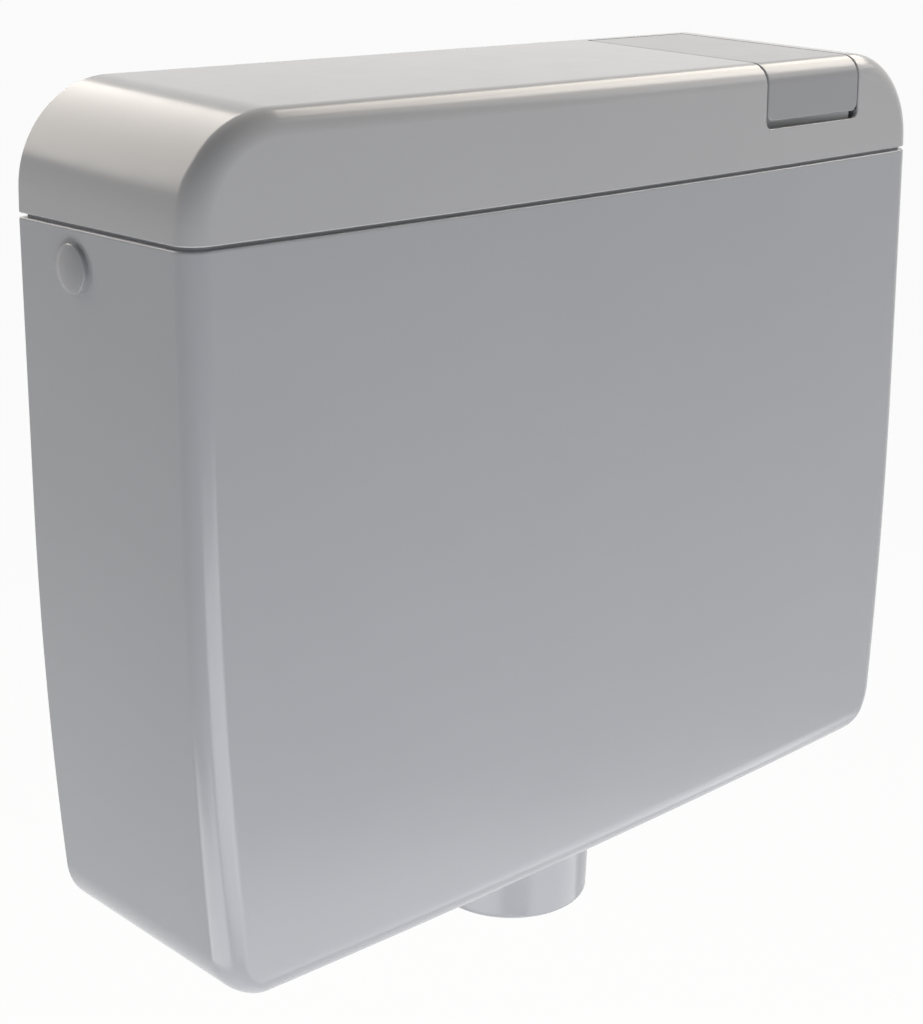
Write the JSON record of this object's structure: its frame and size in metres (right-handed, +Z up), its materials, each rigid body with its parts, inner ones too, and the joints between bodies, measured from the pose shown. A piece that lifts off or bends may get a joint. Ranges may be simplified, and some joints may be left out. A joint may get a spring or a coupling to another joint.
{
  "type": "toilet cistern",
  "caption": "Wall-hung low-level toilet cistern: rounded tank, lift-off lid, wrap-over flush plate, rocker-lifted outlet valve, float-operated side inlet and smooth outlet collar.",
  "frame": {"origin": "midway between the two wall slots, on the wall plane", "axes": "+X to the right along the width, +Y towards the wall, +Z up"},
  "size_m": [0.4654, 0.12, 0.4009],
  "materials": {
    "shell_gloss": "gloss",
    "plate_gloss": "gloss",
    "white_plastic": "satin",
    "grey_plastic": "satin",
    "float_plastic": "satin",
    "rubber": "matte",
    "steel": "brushed",
    "brass": "turned"
  },
  "bodies": {
    "tank_body": {"tank": "shell_gloss", "rocker_bridge": "white_plastic", "bridge_screw_rear": "steel", "bridge_screw_front": "steel", "rocker_pin": "steel", "valve_seat": "white_plastic", "seat_washer": "rubber", "outlet_nut": "shell_gloss", "pipe_seal": "rubber", "valve_cage": "white_plastic", "fill_body": "brass", "fill_inlet_washer": "rubber", "fill_back_nut": "white_plastic", "fill_cap": "brass", "fill_nozzle": "white_plastic", "float_arm_pin": "steel", "drop_tube": "white_plastic", "blanking_plug": "plate_gloss", "blanking_washer": "rubber", "blanking_nut": "white_plastic"},
    "lid_body": {"lid": "shell_gloss", "plate_hinge_pin": "steel"},
    "plate_body": {"flush_plate": "plate_gloss"},
    "rocker_body": {"rocker": "grey_plastic"},
    "valve_body": {"valve_riser": "grey_plastic", "valve_seal": "rubber", "seal_clamp": "white_plastic", "lift_rod": "steel", "lift_head": "white_plastic"},
    "float_body": {"float_arm": "brass", "float_rod": "brass", "float": "float_plastic"},
    "piston_body": {"fill_piston": "brass", "piston_washer": "rubber"}
  },
  "joints": [
    {"name": "lid_lift", "type": "slide", "parent": "tank_body", "child": "lid_body", "axis": [0, 0, 1], "range_m": [0, 0.09]},
    {"name": "plate_press", "type": "hinge", "parent": "lid_body", "child": "plate_body", "pos_m": [0.136, -0.013, 0.065], "axis": [1, 0, 0], "range_deg": [0, 1.5]},
    {"name": "rocker_tilt", "type": "hinge", "parent": "tank_body", "child": "rocker_body", "pos_m": [0.112, -0.056, 0.032], "axis": [0, 1, 0], "range_deg": [0, 5.05]},
    {"name": "valve_lift", "type": "slide", "parent": "tank_body", "child": "valve_body", "axis": [0, 0, 1], "range_m": [0, 0.0099]},
    {"name": "float_swing", "type": "hinge", "parent": "tank_body", "child": "float_body", "pos_m": [0.1648, -0.039, -0.0145], "axis": [0, 1, 0], "range_deg": [0, 22]},
    {"name": "piston_slide", "type": "slide", "parent": "tank_body", "child": "piston_body", "axis": [1, 0, 0], "range_m": [0, 0.0066]}
  ],
  "couplings": [
    {"joint": "rocker_tilt", "follows": "plate_press", "ratio": 3.3462},
    {"joint": "valve_lift", "follows": "plate_press", "m_per_rad": 0.37477},
    {"joint": "piston_slide", "follows": "float_swing", "m_per_rad": 0.016895}
  ]
}
